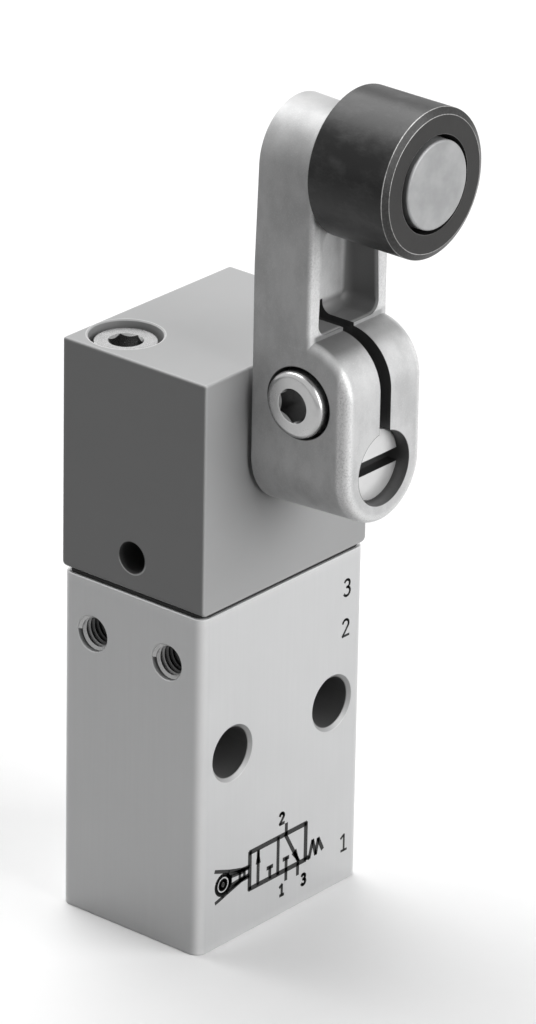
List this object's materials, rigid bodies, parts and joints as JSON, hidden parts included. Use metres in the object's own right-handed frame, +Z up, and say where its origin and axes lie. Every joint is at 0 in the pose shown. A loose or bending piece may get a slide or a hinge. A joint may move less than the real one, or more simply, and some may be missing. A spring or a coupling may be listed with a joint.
{
  "type": "roller lever air valve",
  "caption": "Block-shaped air valve worked by a swinging lever with a roller at its tip.",
  "frame": {"origin": "the middle of the valve body's bottom face", "axes": "+Z up along the block, -Y out of the front face where the lever stands, +X out of the side with the air ports"},
  "size_m": [0.0326, 0.0471, 0.119],
  "materials": {
    "body_aluminium": "pale satin, fine ground",
    "head_aluminium": "darker grey satin",
    "lever_zinc": "bead-blasted die-cast zinc",
    "black_roller": "blackened steel, edges worn bright",
    "pin_steel": "turned, mottled",
    "bright_steel": "zinc plated",
    "ground_steel": "ground",
    "spring_steel": "drawn wire",
    "bronze": "sintered bronze",
    "brass": "turned brass",
    "black_rubber": "nitrile rubber"
  },
  "bodies": {
    "valve": {"valve_body": "body_aluminium", "head_gasket": "black_rubber", "head_housing": "head_aluminium", "head_screws": "bright_steel", "front_shaft_bush": "bronze", "rear_shaft_bush": "bronze", "shaft_seal": "black_rubber", "stem_guide": "brass", "guide_o_ring": "black_rubber", "seat_cartridge": "brass", "cartridge_o_rings": "black_rubber", "exhaust_cage": "brass", "tappet_spring": "spring_steel", "stem_spring": "spring_steel", "poppet_spring": "spring_steel"},
    "shaft": {"lever_shaft": "ground_steel", "shaft_circlip": "spring_steel", "shaft_cam": "ground_steel", "cam_pin": "ground_steel"},
    "lever": {"roller_lever": "lever_zinc", "clamp_screw": "bright_steel", "roller_pin": "pin_steel", "roller_washer": "ground_steel"},
    "roller": {"roller": "black_roller"},
    "tappet": {"tappet": "ground_steel"},
    "stem": {"valve_stem": "brass", "stem_o_rings": "black_rubber"},
    "poppet": {"poppet": "brass", "poppet_seal": "black_rubber"}
  },
  "joints": [
    {"name": "shaft_swing", "type": "hinge", "parent": "valve", "child": "shaft", "pos_m": [0, 0, 0.06905], "axis": [0, 1, 0], "range_deg": [0, 45], "stiffness_Nm_per_rad": 0.2, "springref_deg": -20.05},
    {"name": "lever_set", "type": "hinge", "parent": "shaft", "child": "lever", "pos_m": [0, -0.02, 0.06905], "axis": [0, 1, 0], "continuous": true},
    {"name": "roller_spin", "type": "hinge", "parent": "lever", "child": "roller", "pos_m": [0, -0.0285, 0.1092], "axis": [0, 1, 0], "continuous": true},
    {"name": "tappet_press", "type": "slide", "parent": "valve", "child": "tappet", "axis": [0, 0, -1], "range_m": [0, 0.0019], "deforming": ["tappet_spring"]},
    {"name": "stem_press", "type": "slide", "parent": "valve", "child": "stem", "axis": [0, 0, -1], "range_m": [0, 0.00167], "deforming": ["stem_spring"]},
    {"name": "poppet_press", "type": "slide", "parent": "valve", "child": "poppet", "axis": [0, 0, -1], "range_m": [0, 0.0013], "deforming": ["poppet_spring"]}
  ],
  "couplings": [
    {"joint": "tappet_press", "follows": "shaft_swing", "m_per_rad": 0.0024},
    {"joint": "stem_press", "follows": "shaft_swing", "m_per_rad": 0.0021199},
    {"joint": "poppet_press", "follows": "shaft_swing", "m_per_rad": 0.0016488}
  ]
}
